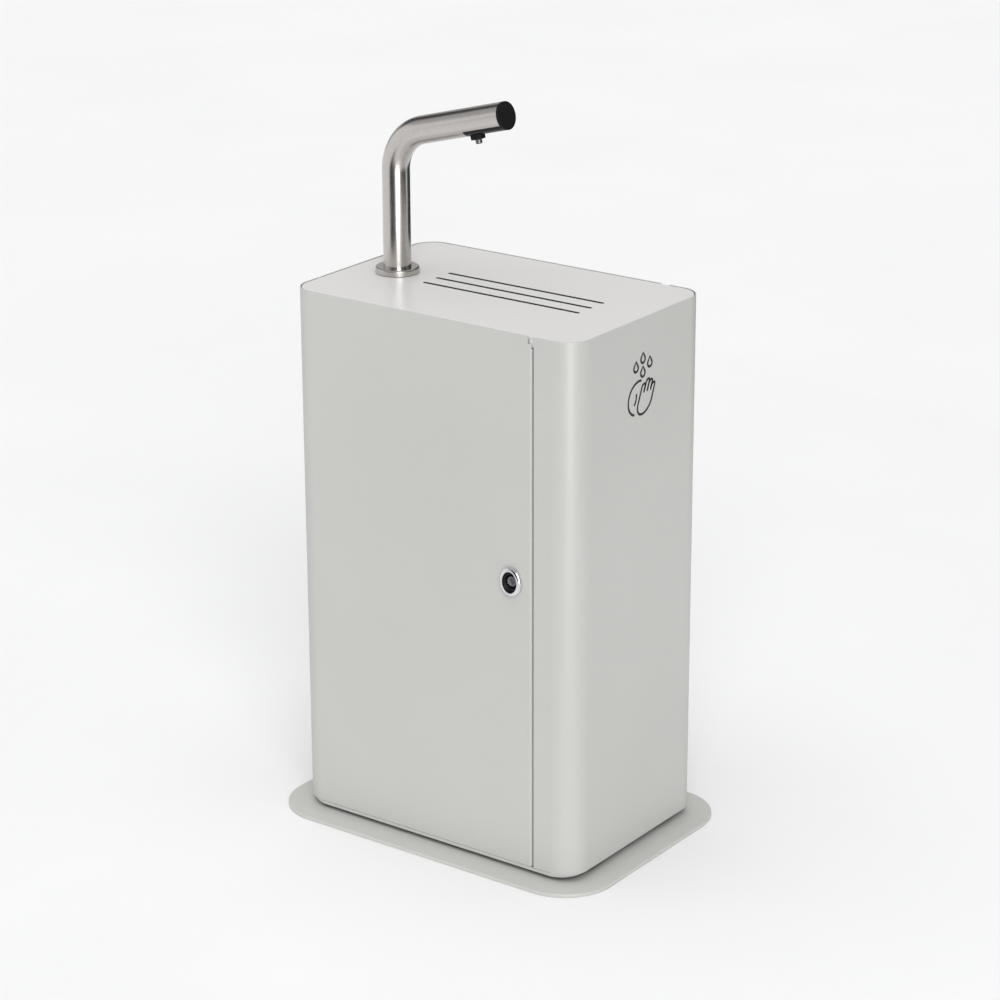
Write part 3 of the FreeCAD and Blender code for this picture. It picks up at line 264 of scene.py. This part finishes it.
def paint_nodes(materials):
    """Gives every CAD node the material of its record slot, with a few by name."""
    by_slot = {row["node"]: row["material_slot"] for row in frame["record"]["subparts"]}
    # The spacer bars get black plastic as painted shade, so the gap under the cabinet reads dark.
    by_name = {"control_box": "case_grey", "control_cover": "case_grey", "battery": "tank_grey",
               "drain_basin": "sheet_steel", "hinge_post": "inner_paint", "door_jamb": "inner_paint",
               "header_rail": "inner_paint", "door_stiffener": "inner_paint",
               "spacer_bars": "black_plastic"}
    for name, node in nodes.items():
        key = by_name.get(name, by_slot[name])
        node.data.materials.clear()
        node.data.materials.append(materials[key])


materials = build_materials()
paint_nodes(materials)


# ---------------------------------------------------------------- piece helpers

def add_piece(name, build, material, body="cabinet", smooth=40):
    """Makes one mesh piece from a bmesh builder and puts it on its body."""
    mesh = bpy.data.meshes.new(name)
    shape = bmesh.new()
    build(shape)
    bmesh.ops.recalc_face_normals(shape, faces=shape.faces)
    shape.to_mesh(mesh)
    shape.free()
    mesh.materials.append(materials[material])
    piece = bpy.data.objects.new(name, mesh)
    scene.collection.objects.link(piece)
    for face in mesh.polygons:
        face.use_smooth = True
    mesh.set_sharp_from_angle(angle=math.radians(smooth))
    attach(piece, body)
    return piece


def sweep(shape, sections, closed=False):
    """Joins one ring of points to the next, and caps the two ends unless the path is closed."""
    rings = [[shape.verts.new(point) for point in section] for section in sections]
    count = len(rings[0])
    spans = len(rings) if closed else len(rings) - 1
    for i in range(spans):
        low, high = rings[i], rings[(i + 1) % len(rings)]
        for j in range(count):
            shape.faces.new((low[j], low[(j + 1) % count], high[(j + 1) % count], high[j]))
    if not closed:
        shape.faces.new(rings[0][::-1])
        shape.faces.new(rings[-1])


def lathe(shape, centre, profile, axis, sides=40):
    """Turns a closed profile of (radius, height) points round an axis through the centre."""
    rings = []
    for i in range(sides):
        angle = math.tau * i / sides
        ring = []
        for radius, height in profile:
            a, b = radius * math.cos(angle), radius * math.sin(angle)
            offset = {"Z": (a, b, height), "Y": (a, height, b), "X": (height, a, b)}[axis]
            ring.append(tuple(c + o for c, o in zip(centre, offset)))
        rings.append(ring)
    sweep(shape, rings, closed=True)


def rounded_box(shape, low, high, radius, segments=3):
    """A box with rounded edges between two corners."""
    made = bmesh.ops.create_cube(shape, size=1)
    middle = [(a + b) / 2 for a, b in zip(low, high)]
    span = [b - a for a, b in zip(low, high)]
    for vertex in made["verts"]:
        vertex.co = Vector([m + c * s for m, c, s in zip(middle, vertex.co, span)])
    edges = list({edge for vertex in made["verts"] for edge in vertex.link_edges})
    bmesh.ops.bevel(shape, geom=edges, offset=radius, segments=segments, affect="EDGES", profile=0.5)


def centre_of(node):
    low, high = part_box(node)
    return [(a + b) / 2 for a, b in zip(low, high)]


# ---------------------------------------------------------------- pictogram on the narrow side

def stroke_outline(points, half, closed):
    """The two edges of a line of even width through the points, with square ends."""
    left, right = [], []
    count = len(points)
    for i, point in enumerate(points):
        before = points[(i - 1) % count] if closed or i else points[i]
        after = points[(i + 1) % count] if closed or i < count - 1 else points[i]
        way = Vector((after[0] - before[0], after[1] - before[1])).normalized()
        left.append((point[0] - way.y * half, point[1] + way.x * half))
        right.append((point[0] + way.y * half, point[1] - way.x * half))
    return left, right


def printed_line(shape, points, half, closed=False):
    """One printed stroke as a thin raised band on the side panel."""
    face_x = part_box("cabinet_shell")[1][0]
    sunk, proud = 0.05 * MM, 0.06 * MM
    back, front = face_x - sunk, face_x + proud
    left, right = stroke_outline(points, half, closed)
    rings = []
    for a, b in zip(left, right):
        rings.append([(back, *a), (front, *a), (front, *b), (back, *b)])
    sweep(shape, rings, closed)


def arc(centre, radius, start, end, steps=14, squash=1.0, lean=0.0):
    """Points on an arc, angles in degrees, flattened across and leaned over by a slope."""
    points = []
    for i in range(steps + 1):
        angle = math.radians(start + (end - start) * i / steps)
        high = radius * math.sin(angle)
        points.append((centre[0] + radius * squash * math.cos(angle) + lean * high, centre[1] + high))
    return points


def drop_outline(centre, size):
    """A water drop: a round belly and two straight flanks up to a point."""
    belly_start, belly_end, tip_height = 145, 395, 1.8
    belly = arc(centre, size, belly_start, belly_end, 18)
    tip = (centre[0], centre[1] + tip_height * size)
    return [tip] + belly


def hand_outline(palm, lean, finger):
    """A plain open hand, pointing up: a round heel and four fingers with round tips."""
    # Every measure here is in finger widths.
    half_palm, lengths = 2.1, (2.4, 3.1, 3.4, 2.8)
    first, pitch, half_finger, half_gap, cleft = 0.55, 1.05, 0.5, 0.52, 1.7
    points = arc(palm, finger * half_palm, 180, 360, 16)
    right = palm[0] + finger * half_palm
    for i, long in enumerate(lengths):
        middle = right - finger * (first + pitch * i)
        points += arc((middle, palm[1] + finger * long), finger * half_finger, 0, 180, 8)
        if i < len(lengths) - 1:
            points.append((middle - finger * half_gap, palm[1] + finger * cleft))
    return [(y + lean * (z - palm[1]), z) for y, z in points]


def pictogram():
    """Four drops over a pair of washing hands, in a simple line drawing."""
    low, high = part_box("cabinet_shell")
    middle = (low[1] + high[1]) / 2 + 3 * MM
    top = high[2]
    line, drop_size = 1.9 * MM, 5.6 * MM
    drop_spots = ((0, -63), (-18, -73), (18, -73), (0, -84))
    finger, lean = 8.4 * MM, 0.42

    def drops(shape):
        for y, z in drop_spots:
            printed_line(shape, drop_outline((middle + y * MM, top + z * MM), drop_size), line, True)

    def hands(shape):
        palm = (middle + 6 * MM, top - 129 * MM)
        printed_line(shape, hand_outline(palm, lean, finger), line, True)
        # The far hand shows as a cupped outline, with its thumb, behind the near one.
        rear = arc((middle - 12 * MM, top - 119 * MM), 25 * MM, 78, 258, 24, 1.0, 0.15)
        printed_line(shape, rear, line)
        thumb = arc((middle - 25 * MM, top - 119 * MM), 12 * MM, 35, -55, 14, 0.7, 0.2)
        printed_line(shape, thumb, line)

    add_piece("pictogram_drops", drops, "print_black", smooth=30)
    add_piece("pictogram_hands", hands, "print_black", smooth=30)


# ---------------------------------------------------------------- tap details

def aimed(shape, origin, axis, profile, sides):
    """Turns a closed profile of (radius, distance) round a slanted axis from the origin."""
    cross = axis.orthogonal().normalized()
    other = axis.cross(cross)
    rings = []
    for i in range(sides):
        angle = math.tau * i / sides
        out = cross * math.cos(angle) + other * math.sin(angle)
        rings.append([tuple(origin + axis * along + out * radius) for radius, along in profile])
    sweep(shape, rings, closed=True)


def tap_details():
    """A flow ring of small jets inside the nozzle's mouth, square to the rising spout."""
    rise = math.radians(15)
    along = Vector((math.cos(rise), 0, math.sin(rise)))
    down = Vector((math.sin(rise), 0, -math.cos(rise)))
    length, recess = 22 * MM, 1.5 * MM
    mouth = Vector(centre_of("tap_nozzle")) + down * (length / 2 - recess)
    inner, bore, jets, jet_circle = 2.2 * MM, 2.9 * MM, 6, 1.45
    jet = [(0.2 * MM, -0.8 * MM), (0.2 * MM, -0.1 * MM), (0.6 * MM, -0.1 * MM), (0.6 * MM, -0.8 * MM)]

    def aerator(shape):
        aimed(shape, mouth, down, [(inner, -1 * MM), (inner, 0), (bore, 0), (bore, -1 * MM)], 24)
        for i in range(jets):
            turn = i * math.tau / jets
            out = Vector((0, 1, 0)) * math.cos(turn) + along * math.sin(turn)
            aimed(shape, mouth + out * jet_circle * MM, down, jet, 10)

    add_piece("aerator_mesh", aerator, "zinc_steel")


# ---------------------------------------------------------------- details inside the cabinet

def screw_cap(shape, node, ribs):
    """Grip ribs round a canister's cap."""
    low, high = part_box(node)
    x, y, _ = centre_of(node)
    radius = (high[0] - low[0]) / 2
    foot, head = low[2] + 1.5 * MM, high[2] - 2.5 * MM
    root, deep, half = -0.4 * MM, 1.1 * MM, math.pi / ribs * 0.45
    for i in range(ribs):
        turn = math.tau * i / ribs
        ring = []
        for angle, out in ((turn - half, root), (turn - half * 0.5, deep), (turn + half * 0.5, deep),
                           (turn + half, root)):
            reach = radius + out
            ring.append((x + reach * math.cos(angle), y + reach * math.sin(angle)))
        rings = [[(a, b, z) for a, b in ring] for z in (foot, head)]
        sweep(shape, rings)


def tank_marks(shape, node):
    """Level marks moulded on the front of a canister, every fifth one long."""
    low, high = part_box(node)
    front, back = low[1] - 0.5 * MM, low[1] + 0.4 * MM
    left = low[0] + 18 * MM
    marks, lowest, pitch, half_tall = 21, 30 * MM, 11 * MM, 0.7 * MM
    for i in range(marks):
        z = low[2] + lowest + i * pitch
        long = (20 if i % 5 == 0 else 10) * MM
        rounded_box(shape, (left, front, z - half_tall), (left + long, back, z + half_tall), 0.2 * MM, 1)


def tank_ribs(shape, node):
    """Two broad stiffening ribs right round a canister."""
    low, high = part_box(node)
    half_tall, corner, neck = 4 * MM, 22 * MM, 40 * MM
    half_face = 0.6 * half_tall
    inner, outer = corner - 0.6 * MM, corner + 1.2 * MM
    left, right = low[0] + corner, high[0] - corner
    front, rear = low[1] + corner, high[1] - corner
    outline = []
    for cx, cy, start in ((right, rear, 0), (left, rear, 90), (left, front, 180), (right, front, 270)):
        for k in range(7):
            angle = math.radians(start + 15 * k)
            outline.append((cx, cy, math.cos(angle), math.sin(angle)))
    for share in (0.16, 0.80):
        z = low[2] + (high[2] - low[2] - neck) * share
        section = ((inner, -half_tall), (outer, -half_face), (outer, half_face), (inner, half_tall))
        rings = [[(cx + reach * a, cy + reach * b, z + rise) for reach, rise in section]
                 for cx, cy, a, b in outline]
        sweep(shape, rings, closed=True)


def motor_fins(shape):
    """Thin cooling rings along the pump's motor."""
    low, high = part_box("pump_motor")
    centre = centre_of("pump_motor")
    spans = [b - a for a, b in zip(low, high)]
    axis = "XYZ"[spans.index(max(spans))]
    length = max(spans)
    radius = min(spans) / 2
    root, rim = radius - 0.4 * MM, radius + 1.0 * MM
    wide, narrow = 0.8 * MM, 0.5 * MM
    for i in range(-4, 5):
        along = i * length / 14
        profile = [(root, along - wide), (rim, along - narrow), (rim, along + narrow), (root, along + wide)]
        lathe(shape, centre, profile, axis)


def control_details(shape):
    """A plain button ring and three vents on the controller's cover."""
    low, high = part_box("control_cover")
    face = low[1]
    x, _, z = centre_of("control_cover")
    button = [(5 * MM, 0.4 * MM), (5 * MM, -1.0 * MM), (7 * MM, -1.0 * MM), (7.4 * MM, 0.4 * MM)]
    lathe(shape, (x, face, z + 12 * MM), button, "Y")
    half_long, half_tall = 14 * MM, 1 * MM
    for drop in (8, 14, 20):
        level = z - drop * MM
        rounded_box(shape, (x - half_long, face - 0.5 * MM, level - half_tall),
                    (x + half_long, face + 0.3 * MM, level + half_tall), 0.3 * MM, 1)


def interior():
    """The small visible details of the canisters, the pump's motor and the controller."""
    add_piece("fresh_cap_ribs", lambda m: screw_cap(m, "fresh_cap", 30), "cap_blue")
    add_piece("waste_cap_ribs", lambda m: screw_cap(m, "waste_cap", 30), "black_plastic")
    for name, key in (("fresh", "tank_plastic"), ("waste", "tank_grey")):
        node = name + "_tank"
        add_piece(node + "_marks", lambda m: tank_marks(m, node), key)
        add_piece(node + "_ribs", lambda m: tank_ribs(m, node), key)
    add_piece("motor_fins", motor_fins, "dark_steel")
    add_piece("control_details", control_details, "black_plastic")


interior()
pictogram()
tap_details()


# ---------------------------------------------------------------- floor, lights and camera

def sun(name, azimuth, elevation, strength, softness):
    """A soft sun for the paint's shading. Steel sees the cards instead."""
    data = bpy.data.lights.new(name, "SUN")
    data.energy = strength
    data.angle = math.radians(softness)
    light = bpy.data.objects.new(name, data)
    light.rotation_euler = (math.radians(90 - elevation), 0, math.radians(azimuth))
    light.visible_glossy = False
    scene.collection.objects.link(light)


def card(name, azimuth, distance, width, low, high, glow):
    """An upright studio card that only reflections see: a lit one is a softbox, a dim one a flag."""
    turn = math.radians(azimuth)
    middle = Vector((math.sin(turn), -math.cos(turn), 0)) * distance
    side = Vector((math.cos(turn), math.sin(turn), 0)) * width / 2
    mesh = bpy.data.meshes.new(name)
    corners = [middle - side, middle + side, middle + side, middle - side]
    heights = [low, low, high, high]
    mesh.from_pydata([(c.x, c.y, z) for c, z in zip(corners, heights)], [], [(0, 1, 2, 3)])
    piece = bpy.data.objects.new(name, mesh)
    scene.collection.objects.link(piece)
    material = bpy.data.materials.new(name)
    material.use_nodes = True
    tree = material.node_tree
    tree.nodes.remove(tree.nodes["Principled BSDF"])
    glowing = tree.nodes.new("ShaderNodeEmission")
    glowing.inputs["Strength"].default_value = glow
    tree.links.new(glowing.outputs["Emission"], tree.nodes["Material Output"].inputs["Surface"])
    mesh.materials.append(material)
    piece.visible_camera = piece.visible_diffuse = piece.visible_shadow = False
    piece.visible_transmission = False


def studio():
    """A plain pale floor, an even world, two suns and the reflection cards."""
    mesh = bpy.data.meshes.new("floor")
    reach, under_base = 14.0, 0.0004
    corners = [(-reach, -reach, 0), (reach, -reach, 0), (reach, reach, 0), (-reach, reach, 0)]
    mesh.from_pydata(corners, [], [(0, 1, 2, 3)])
    floor = bpy.data.objects.new("floor", mesh)
    scene.collection.objects.link(floor)
    floor.location.z = cad_box[0][2] - under_base
    g = Graph("floor_paint")
    floor.data.materials.append(g.finish(g.ramp(g.noise(1.5), 0.84, 0.86), 0.8))
    world = bpy.data.worlds.new("studio")
    scene.world = world
    world.use_nodes = True
    background = world.node_tree.nodes["Background"]
    background.inputs["Color"].default_value = (0.97, 0.975, 0.98, 1)
    background.inputs["Strength"].default_value = 0.52
    sun("key", 41, 30, 1.6, 35)
    sun("overhead", -60, 84, 1.15, 60)
    card("key_strip", 47, 2.1, 0.85, 0, 2.6, 6.5)
    card("left_softbox", -66, 2.1, 2.2, 0, 2.0, 0.95)
    card("front_flag", 2, 2.0, 1.7, 0, 1.6, 0.03)
    card("right_flag", 100, 2.1, 2.3, 0, 2.6, 0.07)
    card("rear_flag", 172, 2.1, 2.6, 0, 2.6, 0.05)
    card("rear_left_flag", -106, 2.1, 1.2, 1.6, 3.4, 0.05)


def camera():
    """A long lens a little above the top plate, looking at the corner beside the door."""
    azimuth, elevation, roll = (math.radians(v) for v in (36.176, 19.744, -0.203))
    distance = 4.6791
    target = Vector((0.0383, -0.0469, 0.5379))
    back = Vector((math.sin(azimuth) * math.cos(elevation), -math.cos(azimuth) * math.cos(elevation),
                   math.sin(elevation)))
    right = Vector((math.cos(azimuth), math.sin(azimuth), 0))
    up = back.cross(right)
    turned_right = math.cos(roll) * right + math.sin(roll) * up
    turned_up = math.cos(roll) * up - math.sin(roll) * right
    data = bpy.data.cameras.new("camera")
    sensor, focal_ratio = 36, 3.1056
    data.sensor_width = sensor
    data.lens = sensor * focal_ratio
    data.clip_end = 60
    view = bpy.data.objects.new("camera", data)
    turn = Matrix((turned_right, turned_up, back)).transposed()
    view.matrix_world = Matrix.Translation(target + back * distance) @ turn.to_4x4()
    scene.collection.objects.link(view)
    scene.camera = view


studio()
camera()
